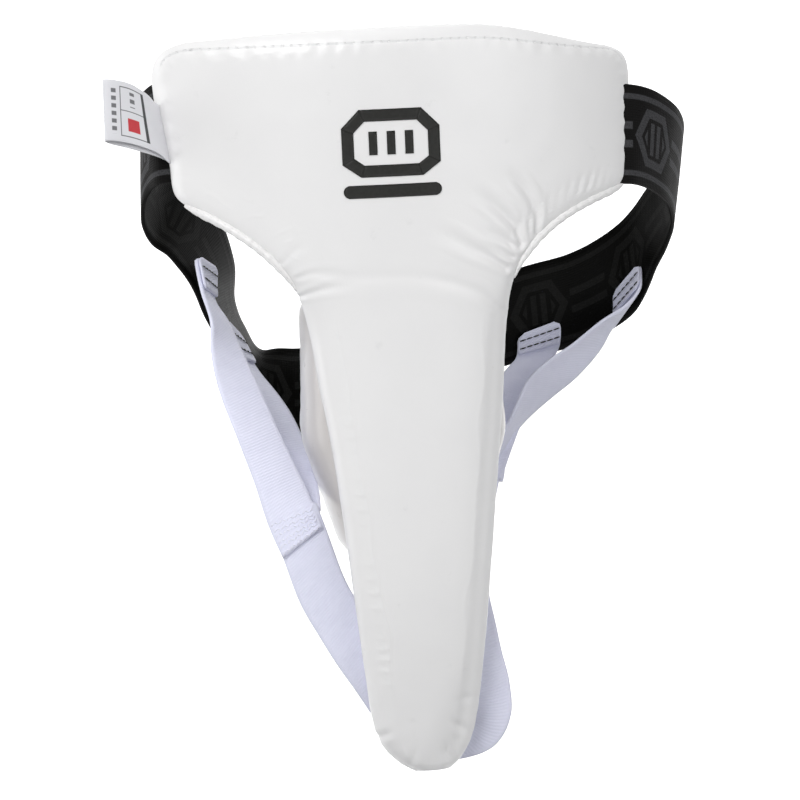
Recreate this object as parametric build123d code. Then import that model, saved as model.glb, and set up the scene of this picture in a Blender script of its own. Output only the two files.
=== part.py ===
from build123d import *
import os
from math import sqrt

# Groin guard: a padded front panel with a tapering tongue, a hard cup in a pocket behind it,
# an elastic waist band closed at the back and two forked leg straps.
# Frame: +Z up as worn, the front faces -Y. The origin lies on the panel's centre line, level
# with the band where it leaves the panel, half way between the panel and the back of the band.

# Driving dimensions, millimetres
bend_radius = 158.0         # plan radius of the panel's front face
front_y = -62.0             # foremost line of the panel
wing_thickness = 12.0
skin = 1.0                  # cover and lining sheet
wing_top = 38.0
wing_half_top = 94.0        # half width at the top
wing_half_low = 91.5        # half width at the lower corner
wing_low = -21.5            # height of the lower corner
crease_z = -58.0            # fold line between wings and tongue
neck_half = 41.5            # half width at the crease
tongue_thickness = 17.0
tongue_straight = -110.0    # the tongue is straight above this height and curls back below it
tongue_curl = 600.0         # radius of that curl
tongue_tip = -256.0
tip_half = 20.0             # half width where the rounded tip begins
tip_start = -236.0
crown_radius = 90.0         # crown of the tongue's face
slab_lead = 1.5             # the curl starts this far in front of the crown
band_width = 40.0
band_thickness = 1.6
web_width = 20.0            # leg strap webbing
web_thickness = 1.5
patch_thickness = 1.0       # hook and loop
cup_centre = -114.0
cup_depth = 31.5
cup_rear = -11.0            # plane of the cup's rim
pad_depth = 7.0             # rim pad, front to back
gap = 0.1                   # play between sheets that lie on each other

bend_centre = front_y + bend_radius


def save(shape, node):
    export_step(shape, "parts/" + node + ".step")


# ---------- plain helpers ----------

def ring(outer, inner, low=-120.0, high=80.0):
    """Upright tube about the panel's bend axis, for cutting curved sheets."""
    tall = Cylinder(outer, high - low) - Cylinder(inner, high - low)
    return Pos(0, bend_centre, (low + high) / 2) * tall


def upright(outline, depth=120.0):
    """Prism of an X-Z outline, through the whole object along Y."""
    return extrude(outline, depth, both=True)


def strip(stations, width, thickness, offset=0.0):
    """Flat strip through stations of (centre, direction across the strip)."""
    faces = []
    last = len(stations) - 1
    for i, (centre, across) in enumerate(stations):
        run = Vector(*stations[min(i + 1, last)][0]) - Vector(*stations[max(i - 1, 0)][0])
        side = Vector(*across).normalized()
        out = run.cross(side).normalized()
        mid = Vector(*centre) + out * offset
        half, rise = side * (width / 2), out * (thickness / 2)
        corners = [mid - half - rise, mid + half - rise, mid + half + rise, mid - half + rise]
        faces.append(Face(Wire.make_polygon(corners, close=True)))
    return loft(faces, ruled=True)


def point_on(stations, place):
    """Centre and across direction at a fractional station number."""
    i = min(int(place), len(stations) - 2)
    share = place - i
    first, second = stations[i], stations[i + 1]
    centre = Vector(*first[0]) * (1 - share) + Vector(*second[0]) * share
    across = Vector(*first[1]) * (1 - share) + Vector(*second[1]) * share
    return centre, across.normalized()


def along(stations, place):
    """Centre, across, run and face normal at a fractional station number."""
    centre, across = point_on(stations, place)
    run = (point_on(stations, place + 0.4)[0] - point_on(stations, place - 0.4)[0]).normalized()
    return centre, across, run, run.cross(across).normalized()


def stitch_rows(origin, row, column, rows, count, spacing, length, height):
    """Rows of short thread bars that stand on a surface."""
    along_row, between = row.normalized(), column.normalized()
    up = along_row.cross(between).normalized()
    bars = []
    for r in range(rows):
        for c in range(count):
            shift = along_row * ((c - (count - 1) / 2) * spacing) + between * (r * 3.5)
            plane = Plane(origin=origin + shift, x_dir=along_row, z_dir=up)
            bars.append(plane * Box(length, 0.7, height))
    return bars


# ---------- front panel ----------

def wing_face(inset=0.0):
    """Panel above the crease, in the X-Z plane, drawn in by an inset."""
    lower = [
        (wing_half_low - inset, wing_low + inset),
        (70, -31 + inset),
        (49 - 0.7 * inset, -46.5 + 0.7 * inset),
        (neck_half - inset, crease_z),
    ]
    mirrored = [(-x, z) for x, z in reversed(lower)]
    half, top, round_off = wing_half_top - inset, wing_top - inset, 10.0 - inset
    with BuildSketch(Plane.XZ) as sketch:
        with BuildLine():
            Line(lower[0], (half, top - round_off))
            RadiusArc((half, top - round_off), (half - round_off, top), -round_off)
            Line((half - round_off, top), (round_off - half, top))
            RadiusArc((round_off - half, top), (-half, top - round_off), -round_off)
            Line((-half, top - round_off), mirrored[-1])
            Spline(*mirrored)
            Line(mirrored[0], lower[-1])
            Spline(*lower)
        make_face()
    return sketch.sketch


def front_panel():
    inner_radius = bend_radius - wing_thickness
    outline = wing_face()
    whole = upright(outline) & ring(bend_radius, inner_radius + skin + gap)
    hollow = upright(wing_face(skin)) & ring(bend_radius - skin, inner_radius)
    save(whole - hollow, "front_cover")
    foam = upright(wing_face(skin + gap)) & ring(bend_radius - skin - gap, inner_radius + skin + 2 * gap)
    save(foam, "wing_foam")
    save(upright(outline) & ring(inner_radius + skin, inner_radius), "back_lining")


def seam_rolls():
    """Rolled seam allowance along both lower edges of the panel."""
    edge = [(88, -23.5, 0.3), (76, -28, 0.4), (62, -36.5, 0.65), (50, -46, 0.95), (44.5, -54, 2.2)]
    radius = bend_radius - wing_thickness / 2
    rolls = []
    for side in (-1, 1):
        path = []
        for x, z, slope in edge:
            y = bend_centre - sqrt(radius ** 2 - x ** 2)
            out = Vector(side * slope, 0, -1).normalized()
            centre = Vector(side * x, y, z) + out * 2.4
            path.append((tuple(centre), tuple(out)))
        rolls.append(strip(path, 2.5, 1.4))
    save(Compound(children=rolls), "lower_seam_rolls")


def badge():
    """Plain printed badge: a six-sided frame with three bars, and a rounded bar below it."""
    centre_x, centre_z = -5.5, -1.0
    frame_points = [(-19, 6), (-12, 13), (12, 13), (19, 6), (19, -8), (12, -13), (-12, -13), (-19, -8)]
    outer = make_face(Polyline(*frame_points, close=True))
    inner = offset(outer, -4.5, kind=Kind.INTERSECTION)
    bars = Sketch() + [Pos(x, 0) * Rectangle(3.2, 9.0) for x in (-7.0, 0.0, 7.0)]
    bar = Pos(0, -18.5) * RectangleRounded(38, 5, 2.2)
    flat = Plane.XZ * Pos(centre_x, centre_z) * (outer - inner + bars + bar)
    save(upright(flat) & ring(bend_radius + 0.3, bend_radius + 0.02), "front_badge")


# ---------- tongue ----------

def tongue_face(inset=0.0):
    """Tongue below the crease, in the X-Z plane, drawn in by an inset."""
    side = [(neck_half, crease_z), (37.5, -84), (33, -120), (26, -187), (tip_half, tip_start)]
    side = [(x - inset, z) for x, z in side]
    mirrored = [(-x, z) for x, z in reversed(side)]
    with BuildSketch(Plane.XZ) as sketch:
        with BuildLine():
            Spline(*side)
            ThreePointArc(side[-1], (0, tongue_tip + inset), mirrored[0])
            Spline(*mirrored)
            Line(mirrored[-1], side[0])
        make_face()
    return sketch.sketch


def curl(z):
    """How far the tongue has curled back at a height."""
    return max(0.0, tongue_straight - z) ** 2 / (2 * tongue_curl)


def tongue_slab(front, rear, raise_top=0.0):
    """Side profile of the tongue between two depths, as a slab across X."""
    end = tongue_tip - 4
    middle = (tongue_straight + end) / 2
    fold_front, fold_rear = crease_z - 4.0 + raise_top, crease_z - 0.6 + raise_top
    with BuildSketch(Plane.YZ) as sketch:
        with BuildLine():
            Line((front, fold_front), (front, tongue_straight))
            ThreePointArc((front, tongue_straight), (front + curl(middle), middle), (front + curl(end), end))
            Line((front + curl(end), end), (rear + curl(end), end))
            ThreePointArc((rear + curl(end), end), (rear + curl(middle), middle), (rear, tongue_straight))
            Line((rear, tongue_straight), (rear, fold_rear))
            Line((rear, fold_rear), (front, fold_front))
        make_face()
    return extrude(sketch.sketch, 80, both=True)


def crown(inset=0.0):
    round_face = Cylinder(crown_radius - inset, 260)
    return Pos(0, front_y + crown_radius, -170) * round_face


def tongue():
    face_y = front_y - slab_lead
    rear_y = front_y + tongue_thickness
    outer = upright(tongue_face()) & tongue_slab(face_y, rear_y - skin - gap) & crown()
    inner = upright(tongue_face(skin)) & tongue_slab(face_y + skin, rear_y + 5, 4.0) & crown(skin)
    save(outer - inner, "tongue_cover")
    foam = upright(tongue_face(skin + gap)) & tongue_slab(face_y + skin + gap, rear_y - skin - 2 * gap)
    save(foam & crown(skin + gap), "tongue_foam")
    save(upright(tongue_face()) & tongue_slab(rear_y - skin, rear_y) & crown(), "tongue_lining")


# ---------- cup ----------

def cup_section(share, y):
    """Egg-shaped outline of the cup at a depth, scaled about its centre."""
    half = [(0, 50), (28, 45), (40, 22), (38, -14), (25, -44), (0, -60)]
    loop = half + [(-x, z) for x, z in reversed(half[1:-1])]
    points = [Vector(x * share, y, cup_centre + z * share) for x, z in loop]
    return Face(Wire([Edge.make_spline(points, periodic=True)]))


def dome(inset, rear=cup_rear):
    """Solid bulging forward from the rim, drawn in by an inset."""
    share = inset / 40.0
    depths = [rear, -24.0, -35.0 + inset * 0.6, cup_rear - cup_depth + inset]
    shares = [1.0 - share, 0.92 - share, 0.72 - share, 0.42 - share]
    return loft([cup_section(s, y) for s, y in zip(shares, depths)])


def cup():
    open_rear = cup_rear + 2.0
    save(dome(0.0) - dome(1.2, open_rear), "cup_pocket")
    vents = [Pos(x, -20, z) * Rot(90, 0, 0) * Cylinder(3.0, 80) for x in (-12, 12) for z in (-102, -122)]
    save(dome(1.3) - dome(4.3, open_rear) - vents, "cup_shell")
    save(dome(4.4) - dome(6.2, open_rear), "cup_lining")
    outer = extrude(cup_section(1.0, cup_rear + gap), pad_depth, dir=(0, 1, 0))
    inner = extrude(cup_section(0.76, cup_rear - 1), pad_depth + 4, dir=(0, 1, 0))
    save(outer - inner, "cup_rim_pad")


# ---------- waist band ----------

left_route = [
    ((-94.9, -25, 4), (0, 0, 1)),
    ((-98.5, -14, -2), (0, 0.05, 1)),
    ((-99, -1, -12), (0.08, 0.28, 0.95)),
    ((-93, 11, -24), (0.21, 0.58, 0.78)),
    ((-80, 19, -37), (0.50, 0.72, 0.46)),
    ((-72, 27, -55), (0.50, 0.84, 0.16)),
    ((-69, 35, -71), (0.36, 0.93, 0.07)),
    ((-63, 43, -86), (0.25, 0.94, 0.21)),
    ((-53, 50, -101), (0.12, 0.80, 0.56)),
    ((-40, 56, -109), (0.06, 0.30, 0.95)),
    ((-20, 57, -110), (0, 0, 1)),
    ((10, 57, -101), (0, 0, 1)),
    ((38, 57, -92), (0, 0, 1)),
]
right_route = [
    ((94.6, -27, -4), (0.03, 0, 1)),
    ((103, -22, -6), (0.07, -0.05, 1)),
    ((112.5, -12, -11), (0.10, -0.05, 1)),
    ((120, 1, -18), (0.13, -0.05, 1)),
    ((123, 13, -27), (0.13, -0.05, 1)),
    ((121.5, 24, -37), (0.12, 0, 1)),
    ((117.5, 33, -46), (0.05, 0.05, 1)),
    ((108.5, 46, -64), (-0.10, 0.05, 1)),
    ((98.5, 51, -72), (-0.13, 0, 1)),
    ((85, 53, -78), (-0.10, 0, 1)),
    ((66, 53, -82), (-0.05, 0, 1)),
    ((37, 53, -90), (0, 0, 1)),
    ((10, 53, -99), (0, 0, 1)),
    ((-13, 53, -106), (0, 0, 1)),
]


def waist_band():
    save(strip(left_route, band_width, band_thickness), "left_band")
    save(strip(right_route, band_width, band_thickness), "right_band")
    patch_width = band_width - 4
    face = band_thickness / 2
    hook = [((-8, 57, -106.4), (0, 0, 1)), ((10, 57, -101), (0, 0, 1)), ((36, 57, -92.6), (0, 0, 1))]
    loop = [((-11, 53, -105.4), (0, 0, 1)), ((10, 53, -99), (0, 0, 1)), ((35, 53, -90.6), (0, 0, 1))]
    hook_shift = face + patch_thickness / 2 + 0.02
    hook_face = [((x, y - hook_shift, z), a) for (x, y, z), a in hook]
    loop_face = [((x, y + hook_shift, z), a) for (x, y, z), a in loop]
    save(strip(hook_face, patch_width, patch_thickness), "hook_patch")
    save(strip(loop_face, patch_width, patch_thickness), "loop_patch")


# ---------- leg straps ----------

def tab(route, place, side, lean, clear):
    """Strap end sewn on the band's inner face, and its two rows of thread."""
    centre, across, run, out = along(route, place)
    inner = out * side
    lift = band_thickness / 2 + web_thickness / 2 + clear
    upper = centre - across * 3 + inner * lift
    lower = centre - across * 18 + inner * lift
    hem = centre - across * (band_width / 2 + 3) + inner * (lift + 1) + Vector(*lean)
    path = [(tuple(p), tuple(run)) for p in (upper, lower, hem)]
    body = strip(path, web_width, web_thickness)
    stand = inner * (web_thickness / 2 + 0.3)
    start = centre - across * 6 + inner * lift + stand
    threads = stitch_rows(start, run, across * -1, 2, 5, 3.4, 2.4, 0.4)
    return body, threads


def tabs():
    for band, route, side, places in (
        ("left", left_route, 1, (("front", 4.6, (1, -1, 0), 0.9), ("rear", 7.3, (2, -1, 0), 0.9))),
        ("right", right_route, -1, (("front", 7.0, (0, -1, 0), 2.9), ("rear", 10.0, (0, -1, 0), 0.9))),
    ):
        threads = []
        for name, place, lean, clear in places:
            body, rows = tab(route, place, side, lean, clear)
            save(body, band + "_" + name + "_tab")
            threads += rows
        save(Compound(children=threads), band + "_tab_stitches")


left_front = [
    ((-77, 4, -66), (0.38, 0.90, -0.20)),
    ((-71, 2, -74), (0.45, 0.87, -0.15)),
    ((-69.5, -2, -84), (0.65, 0.75, -0.11)),
    ((-66, -11, -98), (0.83, 0.55, -0.10)),
    ((-59.5, -20, -118), (0.92, 0.38, -0.10)),
    ((-52.5, -27, -137), (0.98, 0.18, 0.10)),
    ((-47, -32, -152), (0.92, 0.05, 0.35)),
]
left_rear = [
    ((-59, 17, -102), (0.62, 0.74, -0.25)),
    ((-56.5, 13, -109), (0.80, 0.57, -0.20)),
    ((-51.5, 3, -121), (0.92, 0.32, -0.20)),
    ((-47.5, -13, -137), (0.98, 0.11, -0.10)),
    ((-45.5, -25, -149), (0.92, 0.05, 0.30)),
]
right_front = [
    ((105.5, 33, -96), (0.73, 0.67, 0.12)),
    ((98, 32, -98), (0.65, 0.75, 0)),
    ((87, 31, -100), (0.72, 0.64, -0.25)),
    ((74, 28, -105), (0.72, 0.55, -0.42)),
    ((63, 24, -114), (0.66, 0.62, -0.40)),
    ((56, 20, -124), (0.60, 0.75, -0.25)),
]
right_rear = [
    ((65, 45, -107), (1, 0.08, 0)),
    ((60, 40, -113), (1, 0.09, -0.01)),
    ((53, 34, -122), (0.99, 0.09, -0.07)),
    ((43, 26, -134), (0.99, 0.09, -0.08)),
    ((36, 20, -146), (1, 0.05, -0.07)),
]
left_stem_route = [
    ((-43.5, -32, -160), (0.90, 0.05, 0.42)),
    ((-37.5, -33, -181), (0.93, 0, 0.36)),
    ((-24.5, -33.5, -206), (0.88, 0, 0.47)),
    ((-9.5, -29.5, -231), (0.86, 0, 0.50)),
    ((-3, -27.5, -241), (0.86, 0, 0.50)),
]
right_stem_route = [
    ((33.5, 15, -153), (1, 0, -0.07)),
    ((29, 6, -166), (0.99, 0, -0.10)),
    ((25, -6, -178), (0.99, 0, -0.10)),
    ((23.5, -17, -188), (1, 0, -0.07)),
    ((24, -25, -200), (1, 0, 0)),
    ((27, -27, -216), (0.99, 0.05, -0.05)),
    ((26.5, -25, -231), (0.98, 0, 0.18)),
    ((20, -23, -242), (0.75, 0, 0.66)),
    ((9, -23, -247), (0.20, 0, 0.98)),
]


def leg_straps():
    for node, route in (
        ("left_front_arm", left_front),
        ("left_rear_arm", left_rear),
        ("right_front_arm", right_front),
        ("right_rear_arm", right_rear),
        ("left_stem", left_stem_route),
        ("right_stem", right_stem_route),
    ):
        save(strip(route, web_width, web_thickness), node)
    for node, route, place, side in (
        ("left_joint_stitches", left_front, 5.6, 1),
        ("right_joint_stitches", right_rear, 3.4, 1),
    ):
        centre, across, run, out = along(route, place)
        top = centre + out * (side * (web_thickness / 2 + 0.6))
        save(Compound(children=stitch_rows(top, across, run, 2, 5, 3.2, 2.2, 0.4)), node)
    tip_rows = stitch_rows(Vector(5, -21.8, -247), Vector(0, 0, 1), Vector(1, 0, 0), 2, 5, 3.2, 2.2, 0.4)
    save(Compound(children=tip_rows), "tip_stitches")


def label():
    """Folded tape sewn into the left side seam."""
    path = [
        ((-95.5, -34.5, 6), (-0.16, 0, 1)),
        ((-103, -41.5, 10), (-0.08, 0, 1)),
        ((-113, -48, 16), (0, 0, 1)),
    ]
    save(strip(path, 23.0, 1.0), "size_label")


os.makedirs("parts", exist_ok=True)
front_panel()
seam_rolls()
badge()
tongue()
cup()
waist_band()
tabs()
leg_straps()
label()
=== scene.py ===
import math
import bpy
import numpy as np
from mathutils import Matrix, Vector, kdtree, noise
from mathutils.bvhtree import BVHTree


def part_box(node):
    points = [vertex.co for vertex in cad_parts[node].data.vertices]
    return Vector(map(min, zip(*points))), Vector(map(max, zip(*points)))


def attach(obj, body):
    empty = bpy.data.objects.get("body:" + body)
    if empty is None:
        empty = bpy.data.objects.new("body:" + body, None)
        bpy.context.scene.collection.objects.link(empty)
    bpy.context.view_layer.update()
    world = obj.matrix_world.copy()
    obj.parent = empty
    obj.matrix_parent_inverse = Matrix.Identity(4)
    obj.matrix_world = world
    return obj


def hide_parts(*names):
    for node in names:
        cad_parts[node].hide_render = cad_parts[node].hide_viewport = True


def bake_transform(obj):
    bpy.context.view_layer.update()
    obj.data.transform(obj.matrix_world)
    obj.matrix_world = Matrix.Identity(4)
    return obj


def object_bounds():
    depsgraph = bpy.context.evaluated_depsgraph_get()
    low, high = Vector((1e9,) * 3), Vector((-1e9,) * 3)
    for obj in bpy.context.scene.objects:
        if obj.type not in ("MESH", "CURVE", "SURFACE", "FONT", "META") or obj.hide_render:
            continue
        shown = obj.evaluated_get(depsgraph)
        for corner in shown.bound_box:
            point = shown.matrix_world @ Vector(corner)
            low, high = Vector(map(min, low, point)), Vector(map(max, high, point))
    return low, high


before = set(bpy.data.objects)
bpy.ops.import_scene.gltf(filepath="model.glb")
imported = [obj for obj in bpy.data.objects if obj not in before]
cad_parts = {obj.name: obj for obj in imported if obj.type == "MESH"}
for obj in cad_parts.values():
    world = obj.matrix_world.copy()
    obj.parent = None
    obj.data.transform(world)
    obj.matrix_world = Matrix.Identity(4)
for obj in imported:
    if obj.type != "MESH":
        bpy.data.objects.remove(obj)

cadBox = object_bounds()
mm = 0.001          # dictionaries below are in millimetres, the scene is in metres
scene = bpy.context.scene


# small helpers for curves, meshes and nodes

def curveThrough(points, perSpan=10, closed=False, keys=3):
    # soft curve through every point, the columns after the first keys follow along
    pts = np.array(points, float)
    if closed:
        pts = np.vstack([pts[-1:], pts, pts[:2]])
    gaps = np.linalg.norm(np.diff(pts[:, :keys], axis=0), axis=1)
    gaps = np.maximum(gaps, 1e-6) ** 0.6
    slopes = np.diff(pts, axis=0) / gaps[:, None]
    tangents = np.vstack([slopes[:1], np.zeros((len(pts) - 2, pts.shape[1])), slopes[-1:]])
    for i in range(1, len(pts) - 1):
        before, after = gaps[i - 1], gaps[i]
        tangents[i] = (slopes[i - 1] * after + slopes[i] * before) / (before + after)
    spans = range(1, len(pts) - 2) if closed else range(len(pts) - 1)
    rows = []
    for i in spans:
        for t in np.arange(perSpan) / perSpan:
            a, b = 2 * t ** 3 - 3 * t ** 2 + 1, -2 * t ** 3 + 3 * t ** 2
            c, d = t ** 3 - 2 * t ** 2 + t, t ** 3 - t ** 2
            rows.append(a * pts[i] + b * pts[i + 1] + gaps[i] * (c * tangents[i] + d * tangents[i + 1]))
    if not closed:
        rows.append(pts[-1])
    return np.array(rows)


def evenly(samples, spacing, keys=3):
    # the same curve with points a fixed distance apart
    steps = np.linalg.norm(np.diff(samples[:, :keys], axis=0), axis=1)
    run = np.concatenate([[0], np.cumsum(steps)])
    count = max(2, int(round(run[-1] / spacing)) + 1)
    places = np.linspace(0, run[-1], count)
    return np.array([np.interp(places, run, samples[:, k]) for k in range(samples.shape[1])]).T, places


def ease(value):
    value = np.clip(value, 0, 1)
    return value * value * (3 - 2 * value)


def ridge(value, centre, width):
    return np.exp(-((value - centre) / width) ** 2)


def between(value, low, high, soft):
    return ease((value - low) / soft) * ease((high - value) / soft)


def unit(rows):
    return rows / np.maximum(np.linalg.norm(rows, axis=-1, keepdims=True), 1e-9)


def makePiece(name, points, faces, materials, faceSlots=None, flatMap=None):
    # points in millimetres; flatMap gives every point its place along and across, in metres
    mesh = bpy.data.meshes.new(name)
    mesh.from_pydata([tuple(p) for p in np.array(points, float) * mm], [], faces)
    for material in materials:
        mesh.materials.append(material)
    if faceSlots is not None:
        mesh.polygons.foreach_set("material_index", faceSlots)
    mesh.polygons.foreach_set("use_smooth", [True] * len(mesh.polygons))
    if flatMap is not None:
        layer = mesh.uv_layers.new(name="tape")
        corners = np.zeros(len(mesh.loops), dtype=int)
        mesh.loops.foreach_get("vertex_index", corners)
        layer.data.foreach_set("uv", np.array(flatMap, float)[corners].ravel())
    mesh.update()
    piece = bpy.data.objects.new(name, mesh)
    scene.collection.objects.link(piece)
    return piece


def sheetFaces(first, rows, columns):
    # quads over rows of points that lie one after another
    faces = []
    for j in range(rows - 1):
        for i in range(columns - 1):
            a = first + j * columns + i
            faces.append((a, a + 1, a + 1 + columns, a + columns))
    return faces


def ringFaces(first, rings, around):
    # the same, with every row closed into a ring
    faces = []
    for j in range(rings - 1):
        for k in range(around):
            a, b = first + j * around + k, first + j * around + (k + 1) % around
            faces.append((a, b, b + around, a + around))
    return faces


def capFaces(first, rings, around):
    last = first + (rings - 1) * around
    return [list(range(first, first + around))[::-1], list(range(last, last + around))]


def storeValues(piece, name, values):
    # read back by a material's attribute node
    layer = piece.data.attributes.new(name, "FLOAT", "POINT")
    layer.data.foreach_set("value", values.astype(np.float32))


def applyAll(piece):
    graph = bpy.context.evaluated_depsgraph_get()
    mesh = bpy.data.meshes.new_from_object(piece.evaluated_get(graph))
    piece.modifiers.clear()
    piece.data = mesh
    mesh.polygons.foreach_set("use_smooth", [True] * len(mesh.polygons))


def subdivide(piece, levels):
    layer = piece.modifiers.new("rounder", "SUBSURF")
    layer.levels = levels
    layer.render_levels = levels
    applyAll(piece)


def thicken(piece, thickness, offset):
    layer = piece.modifiers.new("sheet", "SOLIDIFY")
    layer.thickness = thickness * mm
    layer.offset = offset
    applyAll(piece)


def placesOf(piece):
    flat = np.zeros(len(piece.data.vertices) * 3)
    piece.data.vertices.foreach_get("co", flat)
    return flat.reshape(-1, 3) / mm


def normalsOf(piece):
    flat = np.zeros(len(piece.data.vertices) * 3)
    piece.data.vertex_normals.foreach_get("vector", flat)
    return flat.reshape(-1, 3)


def moveTo(piece, places):
    piece.data.vertices.foreach_set("co", (places * mm).ravel())
    piece.data.update()


def noiseAt(places, size, seed):
    shift = Vector((seed * 7.3, seed * 3.1, seed * 5.7))
    return np.array([noise.noise(Vector(p) / size + shift) for p in places])


def swell(piece, pinned, settings):
    # padded fabric: pressure inside, seams pinned, and no point may move further than the cap
    start = placesOf(piece)
    group = piece.vertex_groups.new(name="sewn")
    for i, weight in enumerate(pinned):
        if weight > 0:
            group.add([i], float(weight), "REPLACE")
    cloth = piece.modifiers.new("cover", "CLOTH")
    values = cloth.settings
    values.quality = 6
    values.mass = 0.25
    values.tension_stiffness = settings["stretch"]
    values.compression_stiffness = settings["stretch"]
    values.shear_stiffness = settings["shear"]
    values.bending_stiffness = settings["bend"]
    values.use_pressure = True
    values.uniform_pressure_force = settings["pressure"]
    values.shrink_min = settings["shrink"]
    values.vertex_group_mass = "sewn"
    values.pin_stiffness = 1.0
    values.effector_weights.gravity = 0.0
    cloth.collision_settings.use_collision = False
    for moment in range(1, settings["frames"] + 1):
        scene.frame_set(moment)
    applyAll(piece)
    scene.frame_set(1)
    moved = placesOf(piece) - start
    length = np.linalg.norm(moved, axis=1, keepdims=True)
    moveTo(piece, start + moved * np.minimum(1, settings["cap"] / np.maximum(length, 1e-6)))
    print("  ", piece.name, "swelled by up to", round(float(length.max()), 2), "mm")


def newMaterial(name, color, roughness, specular):
    material = bpy.data.materials.new(name)
    material.use_nodes = True
    tree = material.node_tree
    shader = tree.nodes["Principled BSDF"]
    shader.inputs["Base Color"].default_value = (*color, 1)
    shader.inputs["Roughness"].default_value = roughness
    shader.inputs["Specular IOR Level"].default_value = specular
    return material, tree, shader


def calc(tree, kind, *values):
    node = tree.nodes.new("ShaderNodeMath")
    node.operation = kind
    for socket, value in zip(node.inputs, values):
        if isinstance(value, (int, float)):
            socket.default_value = value
        else:
            tree.links.new(value, socket)
    return node.outputs[0]


def times(tree, first, second):
    return calc(tree, "MULTIPLY", first, second)


def plus(tree, first, second):
    return calc(tree, "ADD", first, second)


def minus(tree, first, second):
    return calc(tree, "SUBTRACT", first, second)


def wave(tree, value, period):
    return calc(tree, "SINE", times(tree, value, 2 * math.pi / period))


def beat(tree, value, period):
    # runs from 0 to 1 in every period
    return calc(tree, "FRACT", calc(tree, "DIVIDE", value, period))


def tint(tree, factor, first, second):
    node = tree.nodes.new("ShaderNodeMix")
    node.data_type = "RGBA"
    tree.links.new(factor, node.inputs[0])
    for socket, value in ((node.inputs[6], first), (node.inputs[7], second)):
        if isinstance(value, tuple):
            socket.default_value = (*value, 1)
        else:
            tree.links.new(value, socket)
    return node.outputs[2]


def baseColor(tree, shader, factor, first, second):
    tree.links.new(tint(tree, factor, first, second), shader.inputs["Base Color"])


def spots(tree, size, detail=2.0, kind="ShaderNodeTexNoise", out="Fac"):
    # a texture in object space whose grains are about size millimetres
    where = tree.nodes.new("ShaderNodeTexCoord")
    node = tree.nodes.new(kind)
    node.inputs["Scale"].default_value = 1000.0 / size
    if "Detail" in node.inputs:
        node.inputs["Detail"].default_value = detail
    tree.links.new(where.outputs["Object"], node.inputs["Vector"])
    return node.outputs[out]


def mapped(tree):
    # place along and across a tape, in millimetres
    where = tree.nodes.new("ShaderNodeUVMap")
    where.uv_map = "tape"
    split = tree.nodes.new("ShaderNodeSeparateXYZ")
    tree.links.new(where.outputs["UV"], split.inputs[0])
    return times(tree, split.outputs[0], 1000.0), times(tree, split.outputs[1], 1000.0)


def attribute(tree, name):
    node = tree.nodes.new("ShaderNodeAttribute")
    node.attribute_name = name
    return node.outputs["Fac"]


def step(tree, value, edge, soft=0.15):
    # 0 below the edge, 1 above it
    node = tree.nodes.new("ShaderNodeMapRange")
    node.interpolation_type = "SMOOTHSTEP"
    tree.links.new(value, node.inputs["Value"])
    node.inputs["From Min"].default_value = edge - soft
    node.inputs["From Max"].default_value = edge + soft
    return node.outputs["Result"]


def bar(tree, value, low, high, soft=0.15):
    return minus(tree, step(tree, value, low, soft), step(tree, value, high, soft))


def relief(tree, shader, height, depth, strength):
    node = tree.nodes.new("ShaderNodeBump")
    node.inputs["Strength"].default_value = strength
    node.inputs["Distance"].default_value = depth * mm
    tree.links.new(height, node.inputs["Height"])
    previous = shader.inputs["Normal"]
    if previous.is_linked:
        tree.links.new(previous.links[0].from_socket, node.inputs["Normal"])
    tree.links.new(node.outputs["Normal"], shader.inputs["Normal"])


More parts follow.
